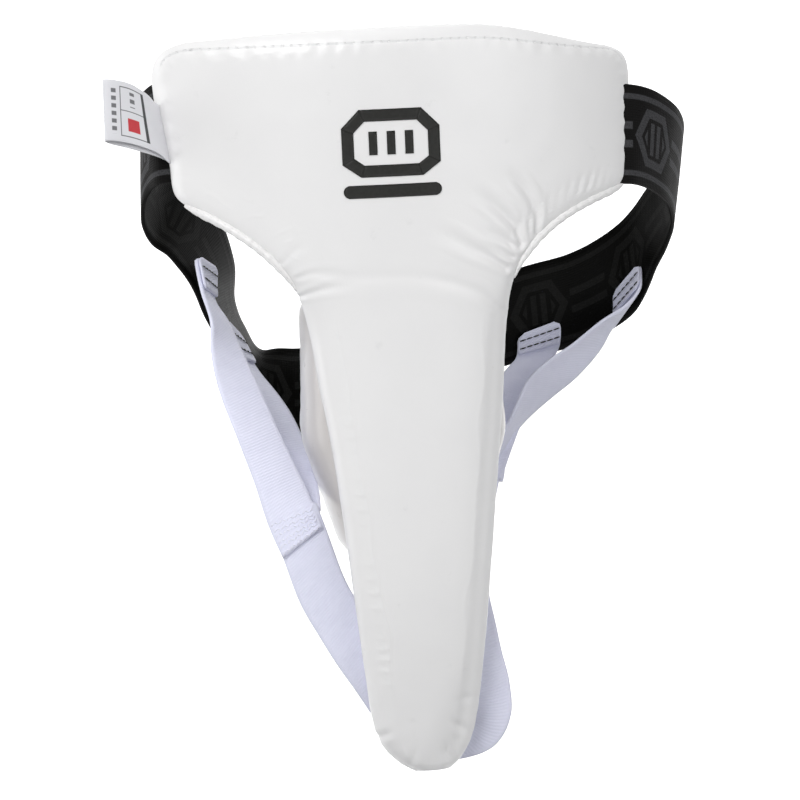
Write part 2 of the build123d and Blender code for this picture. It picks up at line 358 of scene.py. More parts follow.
def whiteVinyl(name, warm=0.0, sewn=False, rolled=False, paintedPocketShade=False):
    look = {"base": (0.83, 0.825, 0.82), "shade": (0.795, 0.79, 0.79), "grain": 0.75, "depth": 0.035}
    material, tree, shader = newMaterial(name, look["base"], 0.3, 0.5)
    cloudy = spots(tree, 22.0, 4.0)
    shade = tuple(channel - warm * drop for channel, drop in zip(look["shade"], (0.0, 0.012, 0.035)))
    color = tint(tree, cloudy, look["base"], shade)
    cells = spots(tree, look["grain"], kind="ShaderNodeTexVoronoi", out="Distance")
    fine = spots(tree, 0.25, 3.0)
    shine = calc(tree, "MULTIPLY_ADD", spots(tree, 9.0, 3.0), 0.16, 0.2)
    tree.links.new(calc(tree, "MULTIPLY_ADD", fine, 0.06, shine), shader.inputs["Roughness"])
    relief(tree, shader, calc(tree, "MULTIPLY_ADD", fine, 0.3, cells), look["depth"], 0.35)
    if sewn:
        # lockstitch just inside the edge, its holes and the pull it leaves in the sheet
        gap, run = attribute(tree, "edgeGap"), attribute(tree, "edgeRun")
        line = times(tree, bar(tree, gap, 2.5, 3.2, 0.25), attribute(tree, "topStitched"))
        dash = beat(tree, run, 3.4)
        thread = times(tree, line, bar(tree, dash, 0.12, 0.88, 0.06))
        groove = times(tree, line, -1.0)
        relief(tree, shader, plus(tree, groove, times(tree, thread, 0.7)), 0.35, 0.8)
        color = tint(tree, times(tree, line, 0.35), color, (0.60, 0.60, 0.61))
    if rolled:
        # two rows of stitches along the rolled seam allowance
        along, height = mapped(tree)
        rows = plus(tree, bar(tree, height, 0.55, 0.85, 0.12), bar(tree, height, -0.45, -0.15, 0.12))
        dash = beat(tree, along, 3.2)
        marks = times(tree, rows, bar(tree, dash, 0.15, 0.8, 0.08))
        relief(tree, shader, minus(tree, marks, rows), 0.14, 0.8)
        holes = times(tree, minus(tree, rows, marks), 0.22)
        color = tint(tree, holes, color, (0.55, 0.55, 0.55))
    if paintedPocketShade:
        # painted shade: the pocket's colour is greyed where it goes in under the tongue, standing in for the
        # shade that falls there
        color = tint(tree, attribute(tree, "inward"), color, (0.53, 0.505, 0.49))
    tree.links.new(color, shader.inputs["Base Color"])
    shader.inputs["Coat Weight"].default_value = 0.12
    shader.inputs["Coat Roughness"].default_value = 0.22
    return material


def wovenLining():
    material, tree, shader = newMaterial("wovenLining", (0.74, 0.74, 0.73), 0.75, 0.3)
    where = tree.nodes.new("ShaderNodeTexCoord")
    split = tree.nodes.new("ShaderNodeSeparateXYZ")
    tree.links.new(where.outputs["Object"], split.inputs[0])
    pitch = 0.7 * mm
    weave = times(tree, wave(tree, split.outputs[0], pitch), wave(tree, split.outputs[2], pitch))
    relief(tree, shader, weave, 0.06, 0.7)
    dusty = calc(tree, "MULTIPLY_ADD", weave, 0.12, spots(tree, 14.0, 4.0))
    baseColor(tree, shader, dusty, (0.78, 0.78, 0.77), (0.66, 0.66, 0.66))
    shader.inputs["Sheen Weight"].default_value = 0.25
    return material


def screenPrint():
    material, tree, shader = newMaterial("screenPrint", (0.011, 0.011, 0.010), 0.42, 0.2)
    worn = spots(tree, 1.6, 4.0)
    baseColor(tree, shader, worn, (0.008, 0.008, 0.007), (0.022, 0.022, 0.020))
    relief(tree, shader, spots(tree, 0.6, 2.0), 0.03, 0.4)
    return material


def webbing():
    # ribbed tape with a bluish white, the ribs cross it on a slant and stop at the selvedge
    material, tree, shader = newMaterial("webbing", (0.79, 0.80, 0.97), 0.62, 0.3)
    along, across = mapped(tree)
    weave = {"ribPitch": 1.15, "slant": 0.35, "cordPitch": 0.62, "selvedge": 9.0, "depth": 0.055}
    rib = wave(tree, calc(tree, "MULTIPLY_ADD", across, weave["slant"], along), weave["ribPitch"])
    cord = wave(tree, across, weave["cordPitch"])
    edge = step(tree, calc(tree, "ABSOLUTE", across), weave["selvedge"], 0.25)
    body = times(tree, rib, minus(tree, 1.0, edge))
    height = plus(tree, body, calc(tree, "MULTIPLY_ADD", cord, 0.25, times(tree, edge, 0.9)))
    relief(tree, shader, height, weave["depth"], 0.7)
    # darker between the ribs: painted shade in the grooves, mixed with random mottle
    dark = calc(tree, "MULTIPLY_ADD", minus(tree, 1.0, height), 0.16, spots(tree, 5.0, 3.0))
    baseColor(tree, shader, times(tree, dark, 0.5), (0.85, 0.86, 1.0), (0.69, 0.70, 0.86))
    shader.inputs["Sheen Weight"].default_value = 0.2
    return material


def elastic(name, outer):
    # woven waist elastic: two speckled stripes and plain six-sided rings in the weave
    look = {
        "ground": (0.0065, 0.0062, 0.0060) if outer else (0.0024, 0.0024, 0.0020),
        "figure": (0.066, 0.066, 0.070) if outer else (0.0130, 0.0130, 0.0122),
        "period": 46.0, "ring": 11.5, "line": 3.4, "stripe": (14.2, 16.4), "link": (2.2, 5.2),
        "barPitch": 4.6, "ribPitch": 1.0, "pickPitch": 1.3, "depth": 0.07 if outer else 0.04,
        "roughness": 0.38 if outer else 0.26, "specular": 0.03 if outer else 0.045,
    }
    material, tree, shader = newMaterial(name, look["ground"], 0.5, look["specular"])
    along, across = mapped(tree)
    height = calc(tree, "ABSOLUTE", across)
    stripe = bar(tree, height, *look["stripe"], 0.2)
    turn = beat(tree, along, look["period"])
    local = calc(tree, "ABSOLUTE", times(tree, minus(tree, turn, 0.5), look["period"]))
    slope = calc(tree, "MULTIPLY_ADD", local, 0.866, times(tree, height, 0.5))
    reach = calc(tree, "MAXIMUM", slope, height)
    ring = bar(tree, reach, look["ring"] - look["line"], look["ring"], 0.2)
    inside = minus(tree, 1.0, step(tree, reach, look["ring"] - look["line"] - 1.6, 0.2))
    bars = times(tree, inside, bar(tree, beat(tree, local, look["barPitch"]), 0.2, 0.75, 0.05))
    link = times(tree, step(tree, local, look["ring"] + 3.0, 0.2), bar(tree, height, *look["link"], 0.2))
    figure = calc(tree, "MAXIMUM", calc(tree, "MAXIMUM", stripe, ring), calc(tree, "MAXIMUM", bars, link))
    grain = spots(tree, 0.55, 2.0)
    speckle = times(tree, figure, calc(tree, "MULTIPLY_ADD", grain, 1.4, 0.05))
    baseColor(tree, shader, speckle, look["ground"], look["figure"])
    ribs = wave(tree, across, look["ribPitch"])
    weave = calc(tree, "MULTIPLY_ADD", wave(tree, along, look["pickPitch"]), 0.5, ribs)
    relief(tree, shader, calc(tree, "MULTIPLY_ADD", figure, 0.8, weave), look["depth"], 0.7)
    tree.links.new(calc(tree, "MULTIPLY_ADD", grain, 0.2, look["roughness"]), shader.inputs["Roughness"])
    return material


def hookAndLoop():
    material, tree, shader = newMaterial("hookAndLoop", (0.018, 0.018, 0.018), 0.85, 0.25)
    tufts = spots(tree, 1.1, kind="ShaderNodeTexVoronoi", out="Distance")
    relief(tree, shader, tufts, 0.5, 0.9)
    baseColor(tree, shader, tufts, (0.035, 0.035, 0.035), (0.008, 0.008, 0.008))
    shader.inputs["Sheen Weight"].default_value = 0.3
    return material


def thread(name, light, dark, roughness):
    material, tree, shader = newMaterial(name, light, roughness, 0.4)
    ply = spots(tree, 0.3, 2.0)
    relief(tree, shader, ply, 0.12, 0.8)
    baseColor(tree, shader, ply, light, dark)
    return material


def mouldedCup():
    material, tree, shader = newMaterial("mouldedCup", (0.74, 0.74, 0.72), 0.38, 0.5)
    flow = spots(tree, 6.0, 3.0)
    baseColor(tree, shader, flow, (0.76, 0.76, 0.74), (0.68, 0.68, 0.66))
    relief(tree, shader, spots(tree, 0.4, 2.0), 0.02, 0.5)
    return material


def printedTape():
    # care label: a thin frame, a heavy end bar, a divider, a red block and rows of plain grey bars
    material, tree, shader = newMaterial("printedTape", (0.74, 0.74, 0.76), 0.5, 0.35)
    along, across = mapped(tree)

    def block(alongSpan, acrossSpan, soft):
        return times(tree, bar(tree, along, *alongSpan, soft), bar(tree, across, *acrossSpan, soft))

    frameIn = block((7.3, 19.0), (-8.9, 9.4), 0.08)
    frameOut = block((6.9, 19.6), (-9.3, 9.8), 0.08)
    lines = minus(tree, frameOut, frameIn)
    heavy = times(tree, bar(tree, along, 18.0, 19.6, 0.08), frameOut)
    divider = times(tree, bar(tree, across, 0.5, 0.85, 0.06), frameOut)
    dashes = bar(tree, beat(tree, plus(tree, across, 40.0), 2.9), 0.2, 0.75, 0.05)
    rows = plus(tree, block((3.2, 5.2), (-8.8, 9.4), 0.1), block((11.6, 14.0), (2.4, 8.2), 0.1))
    words = times(tree, rows, dashes)
    red = block((10.2, 15.4), (-7.0, -2.0), 0.1)
    grey = calc(tree, "MINIMUM", plus(tree, plus(tree, lines, divider), words), 1.0)
    color = tint(tree, grey, (0.76, 0.76, 0.79), (0.16, 0.16, 0.17))
    color = tint(tree, heavy, color, (0.05, 0.05, 0.055))
    color = tint(tree, red, color, (0.55, 0.035, 0.045))
    tree.links.new(color, shader.inputs["Base Color"])
    satin = wave(tree, across, 0.4)
    relief(tree, shader, satin, 0.03, 0.5)
    shader.inputs["Sheen Weight"].default_value = 0.15
    return material


vinyl = whiteVinyl("whiteVinyl", sewn=True)
plainVinyl = whiteVinyl("plainVinyl", warm=1.0)
rolledVinyl = whiteVinyl("rolledVinyl", warm=0.3, rolled=True)
pocketVinyl = whiteVinyl("pocketVinyl", warm=1.0, paintedPocketShade=True)
lining = wovenLining()
printInk = screenPrint()
strapTape = webbing()
bandOuter = elastic("elasticOuter", True)
bandInner = elastic("elasticInner", False)
gripTape = hookAndLoop()
blackThread = thread("blackThread", (0.012, 0.012, 0.013), (0.004, 0.004, 0.004), 0.55)
whiteThread = thread("whiteThread", (0.86, 0.86, 0.97), (0.74, 0.75, 0.86), 0.6)
cupPlastic = mouldedCup()
labelTape = printedTape()
print("finishes ready")


# the camera, the floor and the lamps
shot = {
    "aim": (-3.0, -33.0, -105.0), "distance": 1100.0, "turn": -7.0, "rise": 8.0, "roll": 2.5,
    "lens": 123.75, "floorDrop": 0.16, "floorSide": 9.0, "sweepStart": 0.6,
    "sweepRadius": 0.9, "wallTop": 3.4, "stripLength": 2.2,
    "skyColor": (0.97, 0.98, 1.0, 1), "skyStrength": 0.30,
    "lamps": (
        ("keyPanel", (-0.75, -1.25, 0.75), 0.9, 16.5),
        ("fillPanel", (0.9, -1.2, 0.35), 1.1, 6.8),
        ("topPanel", (0.05, -0.1, 1.25), 1.0, 3.6),
        ("edgeStrip", (-1.1, 0.15, 0.0), 0.5, 3.5),
        ("backPanel", (0.5, 1.5, 0.45), 1.2, 6.0),
    ),
}


def setUpCamera():
    turn, rise, roll = (math.radians(shot[key]) for key in ("turn", "rise", "roll"))
    back = Vector((math.sin(turn) * math.cos(rise), -math.cos(turn) * math.cos(rise), math.sin(rise)))
    level = Vector((math.cos(turn), math.sin(turn), 0))
    plumb = back.cross(level)
    right = level * math.cos(roll) - plumb * math.sin(roll)
    up = level * math.sin(roll) + plumb * math.cos(roll)
    spot = Vector(shot["aim"]) * mm + back * shot["distance"] * mm
    data = bpy.data.cameras.new("camera")
    data.lens = shot["lens"]
    data.sensor_width = 36.0
    camera = bpy.data.objects.new("camera", data)
    turned = Matrix((right, up, back)).transposed().to_4x4()
    camera.matrix_world = Matrix.Translation(spot) @ turned
    scene.collection.objects.link(camera)
    scene.camera = camera


def setUpStage():
    # a sweep: floor that turns up into a back wall, so there is no horizon
    low = cadBox[0][2] - shot["floorDrop"]
    side, start, radius = (shot[key] for key in ("floorSide", "sweepStart", "sweepRadius"))
    profile = [(-side, 0.0), (start, 0.0)]
    for turn in np.linspace(0.1, math.pi / 2, 14):
        profile.append((start + radius * math.sin(turn), radius - radius * math.cos(turn)))
    profile.append((start + radius, shot["wallTop"]))
    points = [(x / mm, y / mm, (low + z) / mm) for y, z in profile for x in (-side, side)]
    faces = sheetFaces(0, len(profile), 2)
    material, tree, shader = newMaterial("paleFloor", (0.93, 0.93, 0.93), 0.9, 0.1)
    shader.inputs["Emission Color"].default_value = (1, 1, 1, 1)
    shader.inputs["Emission Strength"].default_value = 1.0
    floor = makePiece("floor", points, faces, [material])
    floor.visible_diffuse = False       # the lamps and the sky light the guard, not the bright sweep
    world = bpy.data.worlds.new("studio")
    world.use_nodes = True
    sky = world.node_tree.nodes["Background"]
    sky.inputs["Color"].default_value = shot["skyColor"]
    sky.inputs["Strength"].default_value = shot["skyStrength"]
    scene.world = world
    target = Vector(shot["aim"]) * mm
    for name, spot, size, power in shot["lamps"]:
        lamp = bpy.data.lights.new(name, "AREA")
        lamp.shape = "RECTANGLE"
        lamp.size = size
        lamp.size_y = size * (shot["stripLength"] if name == "edgeStrip" else 1.0)
        lamp.energy = power
        holder = bpy.data.objects.new(name, lamp)
        holder.location = spot
        holder.rotation_euler = (target - Vector(spot)).to_track_quat("-Z", "Y").to_euler()
        scene.collection.objects.link(holder)
    scene.view_settings.view_transform = "Standard"


setUpCamera()
setUpStage()
print("camera, floor and light ready")


# the padded front: wings and tongue in one glossy cover
panel = {
    "bendRadius": 158.0, "crownRadius": 90.0, "curlStart": -110.0, "curlRadius": 600.0,
    "wingDepth": 12.0, "tongueDepth": 17.0, "edgeRound": 6.0, "softSide": 6.5, "tipDrop": 1.7,
    "rightEdge": (
        (84, 38), (89, 37), (93.5, 34), (95.6, 29), (96.2, 14), (96, -4), (95, -16), (93.6, -21.5),
        (90.5, -24), (86.5, -25.6), (76, -29), (64.5, -34), (56, -39.5), (49, -46), (43.6, -54),
        (41, -62), (39.2, -76), (37.6, -95), (34.8, -120), (31.3, -153), (27.8, -187), (24.6, -217),
        (22.4, -235), (20.6, -243), (17.2, -250), (12.0, -256), (6, -258.5),
    ),
    "leftEdge": (
        (80, 38), (87, 36.7), (92, 33.5), (94.4, 28), (94.4, 18), (92.4, 6), (90.5, -3), (89.6, -10),
        (89.4, -16), (88.2, -19.8), (86, -22.4), (74.5, -28.6), (66, -34), (57, -41), (49.5, -49),
        (44.4, -56.5), (41.6, -64), (38.8, -78), (36.6, -95), (33, -120), (29.4, -153), (26, -187),
        (22.8, -217), (20.6, -235), (17.6, -244), (11.5, -251.6), (3, -257), (-6, -258.5),
    ),
    "neckTop": -46.0, "neckDrop": 36.0, "leanLeft": 2.4, "leanFall": 9.0, "outlineTop": 38.0, "slack": 1.0,
    "swell": {
        "pressure": 4.0, "stretch": 16.0, "shear": 6.0, "bend": 2.0, "shrink": 0.0, "frames": 20, "cap": 2.0,
    },
}
edgeSteps = (0, 0.5, 1.6, 3.3, 5.5, 8.5)
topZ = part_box("front_cover")[1][2] / mm
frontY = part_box("front_cover")[0][1] / mm
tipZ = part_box("tongue_cover")[0][2] / mm - panel["tipDrop"]


def belowNeck(z):
    # 0 on the wings, 1 on the tongue
    return ease((panel["neckTop"] - z) / panel["neckDrop"])


def halfWidth(side, z):
    return np.interp(-z, -side[:, 1], side[:, 0])


def frontDepth(x, z):
    # bent about the wearer above the neck, crowned and curling back below it
    wing = panel["bendRadius"] - np.sqrt(panel["bendRadius"] ** 2 - x ** 2)
    crown = panel["crownRadius"] - np.sqrt(panel["crownRadius"] ** 2 - np.clip(x, -80, 80) ** 2)
    curl = np.maximum(0, panel["curlStart"] - z) ** 2 / (2 * panel["curlRadius"])
    low = belowNeck(z)
    return frontY + wing * (1 - low) + crown * low + curl


def topLean(x, z):
    # the top edge stands a little high on the left and falls away at the right corner
    return (panel["leanLeft"] - panel["leanFall"] * ease((x - 25) / 75)) * np.exp((z - topZ) / 25.0)


def padDepth(z):
    return panel["wingDepth"] + (panel["tongueDepth"] - panel["wingDepth"]) * belowNeck(z)


rightSide = curveThrough(panel["rightEdge"], 8, keys=2)
leftSide = curveThrough(panel["leftEdge"], 8, keys=2)
outline = np.vstack([
    evenly(rightSide, 1.0, keys=2)[0],
    evenly(leftSide, 1.0, keys=2)[0][::-1] * (-1, 1),
])
topEdge = np.array([(x, panel["outlineTop"]) for x in np.arange(-79, 84, 1.0)])
outline = np.vstack([topEdge, outline])
outlineRun = np.concatenate([[0], np.cumsum(np.linalg.norm(np.diff(outline, axis=0), axis=1))])
outlineTree = kdtree.KDTree(len(outline))
for number, (edgeX, edgeZ) in enumerate(outline):
    outlineTree.insert((edgeX, 0, edgeZ), number)
outlineTree.balance()


def edgeOf(places):
    # distance from the outline, place along it, and the outline's own x and z there
    rows = []
    for x, y, z in places:
        co, number, gap = outlineTree.find((x, 0, z - float(topLean(x, z))))
        rows.append((gap, outlineRun[number], outline[number][0], outline[number][1]))
    return np.array(rows).T


def rowHeights():
    heights = [topZ - s for s in edgeSteps]
    while heights[-1] > tipZ + 15:
        heights.append(heights[-1] - (2.0 if -62 < heights[-1] < -17 else 3.4))
    return heights + [tipZ + s for s in (11.5, 8.5, 5.5, 3.3, 1.6, 0.5)]


def columnPlaces(low, high):
    near = np.array(edgeSteps) * min(1.0, (high - low) / 42.0)
    middle = np.linspace(low + near[-1], high - near[-1], 40)[1:-1]
    return np.concatenate([low + near, middle, (high - near)[::-1]])


def skinPoint(x, z, rear):
    co, number, gap = outlineTree.find((x, 0, z))
    rounding = panel["edgeRound"] + panel["softSide"] * float(ease((-60 - z) / 40) * ease((x - 4) / 14))
    full = math.sqrt(1 - (1 - min(gap / rounding, 1)) ** 2)
    half = padDepth(z) / 2
    middle = frontDepth(x, z) + half
    reach = half - (0.0 if rear else panel["slack"]) - 1.3 * math.exp(-gap / 11.0)
    y = middle + (1 if rear else -1) * reach * full
    back = (y - middle + half) / (2 * half)
    rise = max(0, 1 - (x / 84) ** 2) * math.exp(-(topZ - z) / 13.0)
    return x, y, z + rise * (1.0 + 4.2 * back) + float(topLean(x, z))


def buildCover():
    heights = rowHeights()
    grid = [columnPlaces(-halfWidth(leftSide, z), halfWidth(rightSide, z)) for z in heights]
    rows, columns = len(heights), len(grid[0])
    points, front, rear = [], {}, {}
    for j, z in enumerate(heights):
        for i, x in enumerate(grid[j]):
            front[j, i] = len(points)
            points.append(skinPoint(x, z, False))
    for j, z in enumerate(heights):
        for i, x in enumerate(grid[j]):
            if j in (0, rows - 1) or i in (0, columns - 1):
                rear[j, i] = front[j, i]
            else:
                rear[j, i] = len(points)
                points.append(skinPoint(x, z, True))
    faces = []
    for j in range(rows - 1):
        for i in range(columns - 1):
            corners = [(j, i), (j + 1, i), (j + 1, i + 1), (j, i + 1)]
            faces.append([front[c] for c in corners])
            faces.append([rear[c] for c in reversed(corners)])
    cover = makePiece("panelCover", points, faces, [vinyl])
    frontCount = rows * columns
    places = placesOf(cover)
    gap = edgeOf(places)[0]
    pinned = np.where(np.arange(len(places)) >= frontCount, 1.0, 0.0)
    pinned = np.maximum(pinned, np.where(gap < 2.2, 1.0, 0.0))
    foldLine = ridge(places[:, 2] + places[:, 0] ** 2 / 420, -56, 2.6)
    pinned = np.maximum(pinned, 0.45 * foldLine * (np.abs(places[:, 0]) < 34))
    swell(cover, pinned, panel["swell"])
    subdivide(cover, 2)
    return cover


neckFolds = (
    {"line": ((45.5, -43), (43, -36.6), (38, -30.9), (30.8, -24.4), (22, -19)), "width": 2.0, "depth": 1.25},
    {"line": ((52, -40), (52, -31.9), (49.1, -24.5), (43.6, -17.5), (38, -12)), "width": 1.8, "depth": 1.0},
    {"line": ((44.5, -45), (38.8, -41.7), (33.9, -38.4), (29, -36)), "width": 1.5, "depth": 0.7},
    {"line": ((41.5, -48.5), (38.6, -47.1), (34.9, -44.4), (30.1, -40.5)), "width": 1.4, "depth": 0.6},
    {"line": ((38.5, -52.5), (32.3, -47.8), (25, -43.7), (16, -38.4), (4, -34)), "width": 2.1,
     "depth": 0.85},
    {"line": ((38, -70), (32.6, -66.2), (27.6, -61.5), (18.4, -57.5)), "width": 1.7, "depth": 0.5},
    {"line": ((-43.5, -52), (-38, -50.2), (-30, -50.5), (-20, -51.5)), "width": 1.5, "depth": 0.35},
    {"line": ((-42.5, -59.5), (-38, -57.8), (-29.2, -55.9), (-18, -55.6)), "width": 1.4, "depth": 0.45},
    {"line": ((-49, -46), (-44, -41), (-37, -38.5)), "width": 1.4, "depth": 0.3},
)


tipTucks = ((-17.5, -240, 0.6), (14.5, -238, 0.55), (9.6, -250, 0.7), (-5.5, -250, 0.35), (17.5, -226, 0.3))
pucker = {
    "rungPitch": 5.7, "rungLift": 0.24, "ridgeGap": 10.3, "ridgeLift": 0.2,
    "grooveGap": 6.0, "grooveDepth": 0.4, "tuckPitch": 4.6, "tuckDepth": 0.42, "latticeSize": 7.5,
    "latticeLift": 0.16, "topPitch": 7.4, "topLift": 0.14,
    "creaseZ": -52.5, "creaseDepth": 0.4, "tipMiddle": -226.0, "tipFall": 0.0085, "tipCap": 2.6,
    "foam": ((46.0, 0.4, 4), (11.0, 0.12, 5)),      # size, height and seed of what is never quite even
}


def seamRelief(places, gap, run, edgeX, edgeZ):
    strip = np.column_stack([run, 0 * run, 0 * run])
    drift = noiseAt(strip, 21.0, 1)
    strength = 0.75 + 0.9 * noiseAt(strip, 16.0, 2)

    def pleats(place, shift):
        return np.cos(2 * math.pi * (place + shift * drift))

    # a ladder of fine ridges down both sides of the tongue
    sides = np.where(edgeX < 0, 1.0, 0.5) * between(-edgeZ, 66, 226, 12)
    rungs = (0.5 + 0.5 * pleats(run / pucker["rungPitch"], 0.55)) ** 4
    lift = pucker["rungLift"] * sides * strength * rungs * between(gap, 4.0, 12.0, 3.0)
    lift += pucker["ridgeLift"] * sides * ridge(gap, pucker["ridgeGap"] + 2.6 * drift, 0.9)
    lift -= pucker["grooveDepth"] * between(-edgeZ, 62, 240, 12) * ridge(gap, pucker["grooveGap"], 2.4)
    # short slanted tucks above the right rolled edge, a faint lattice above the left one
    wingEdge = between(-edgeZ, 23, 52, 4)
    slanted = (0.5 + 0.5 * pleats((run + 0.75 * gap) / pucker["tuckPitch"], 0.6)) ** 2
    lift -= pucker["tuckDepth"] * wingEdge * (edgeX > 0) * strength * slanted * between(gap, 2.0, 14.0, 4.5)
    lattice = ridge(noiseAt(places * (1, 0, 1), pucker["latticeSize"], 7), 0, 0.085)
    lift += pucker["latticeLift"] * wingEdge * (edgeX < 0) * lattice * between(gap, 5.0, 18.0, 4.0)
    # seam pull along the top and down the outer edges
    upper = between(edgeZ, -16, 60, 6) * between(gap, 0.5, 8.0, 3.0)
    return lift + upper * pucker["topLift"] * pleats(run / pucker["topPitch"], 0.6)


def foldRelief(x, z):
    # folds drawn from the corners of the neck into the panel, then the soft crease over the hinge line
    lift = np.zeros(len(x))
    for fold in neckFolds:
        line, width = curveThrough(fold["line"], 8, keys=2), fold["width"]
        offsets = np.hypot(x[:, None] - line[None, :, 0], z[:, None] - line[None, :, 1])
        share = np.linspace(0, 1, len(line))[offsets.argmin(axis=1)]
        away = offsets.min(axis=1)
        taper = ease((1 - share) / 0.55) * ease((share + 0.25) / 0.3) * ease((3.5 * width - away) / width)
        spread = width * (0.6 + 0.8 * share)
        lift -= fold["depth"] * taper * (ridge(away, 0, spread) - 0.35 * ridge(away, 2 * spread, spread))
    height = z - pucker["creaseZ"] + np.maximum(0, x + 8) ** 2 / 150
    crease = ridge(height, 0, 2.2) - 0.6 * ridge(height, -5.5, 3.6)
    return lift - pucker["creaseDepth"] * crease * between(x, -38, 33, 16)


def tipRelief(x, z, gap):
    # the right half of the tip falls away, and the seam pulls short tucks all round it
    slope = np.maximum(0, 0.91 * (x - 14.6) - 0.414 * (z + 203)) * ease((-188 - z) / 30)
    lift = -np.minimum(pucker["tipFall"] * slope ** 2, pucker["tipCap"]) * ease(gap / 9.0)
    for tuckX, tuckZ, depth in tipTucks:
        out = unit(np.array([tuckX, tuckZ - pucker["tipMiddle"]]))
        alongTuck = (x - tuckX) * out[0] + (z - tuckZ) * out[1]
        acrossTuck = (x - tuckX) * out[1] - (z - tuckZ) * out[0]
        section = 0.4 * ridge(np.abs(acrossTuck), 3.2, 1.6) - ridge(acrossTuck, 0, 1.5)
        lift += depth * ridge(alongTuck, 0, 4.4) * section
    return lift


def puckerCover(cover):
    places, normals = placesOf(cover), normalsOf(cover)
    gap, run, edgeX, edgeZ = edgeOf(places)
    x, z = places[:, 0], places[:, 2]
    lift = seamRelief(places, gap, run, edgeX, edgeZ) + foldRelief(x, z) + tipRelief(x, z, gap)
    for size, height, seed in pucker["foam"]:
        lift += height * noiseAt(places, size, seed)
    facing = ease((0.35 - normals[:, 1]) / 0.5)
    moveTo(cover, places + normals * (lift * facing)[:, None])
    stitched = ease((edgeZ - 27) / 7)
    for name, values in (("edgeGap", gap), ("edgeRun", run), ("topStitched", stitched)):
        storeValues(cover, name, values)


def buildLining():
    inset, columns = 2.6, 34
    heights = [z for z in rowHeights() if topZ - 2 > z > tipZ + 2.4]
    points = []
    for z in heights:
        low, high = -halfWidth(leftSide, z) + inset, halfWidth(rightSide, z) - inset
        for x in np.linspace(low, high, columns):
            px, py, pz = skinPoint(x, z, True)
            quilt = 0.25 * noise.noise(Vector((px, 0, pz)) / 14.0)
            points.append((px, py + 0.55 + quilt, pz))
    sheet = makePiece("panelLining", points, sheetFaces(0, len(heights), columns), [lining])
    thicken(sheet, 0.5, 1.0)
    return sheet


cover = buildCover()
puckerCover(cover)
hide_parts("front_cover", "wing_foam", "tongue_cover", "tongue_foam")
backLining = buildLining()
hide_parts("back_lining", "tongue_lining")
print("padded front:", len(cover.data.vertices), "points")


def tube(name, route, radiusAt, material, around=14, spacing=1.2):
    samples, run = evenly(curveThrough(route), spacing)
    runDirection = unit(np.gradient(samples, axis=0))
    side = unit(np.cross(runDirection, (0, 1, 0)))
    out = np.cross(runDirection, side)
    points, flat = [], []
    for centre, a, b, place in zip(samples, side, out, run):
        for k in range(around):
            turn = 2 * math.pi * k / around
            reach = radiusAt(place, run[-1], turn) * (a * math.cos(turn) + b * math.sin(turn))
            points.append(centre + reach)
            flat.append((place * mm, reach[2] * mm))
    faces = capFaces(0, len(samples), around) + ringFaces(0, len(samples), around)
    return makePiece(name, points, faces, [material], None, flat)


def joined(name, parts):
    bpy.ops.object.select_all(action="DESELECT")
    for part in parts:
        part.select_set(True)
    bpy.context.view_layer.objects.active = parts[0]
    bpy.ops.object.join()
    parts[0].name = name
    return parts[0]


def rollRadius(place, length, turn):
    ends = min(1.0, (place + 0.4) / 9.0, (length - place + 0.4) / 14.0)
    wrinkle = 0.13 * math.cos(2 * math.pi * place / 5.2 + math.sin(turn))
    wrinkle += 0.1 * noise.noise(Vector((place / 4, turn, 0)))
    return 0.35 + (1.5 + wrinkle) * ends ** 0.6


def buildSeamRolls():
    rolls = []
    for side, sign in ((rightSide, 1), (leftSide, -1)):
        route = []
        for x, z in side:
            if -60 < z < -22.6:
                y = frontDepth(x, z) + padDepth(z) / 2 - 1.6
                route.append((sign * (x - 0.4), y, z + 0.1))
        rolls.append(tube("roll", route[::4], rollRadius, rolledVinyl))
    return joined("seamRolls", rolls)


def drape(tree, x, z, proud):
    hit = tree.ray_cast(Vector((x, -200, z)) * mm, Vector((0, 1, 0)))
    return x, hit[0].y / mm - proud, z


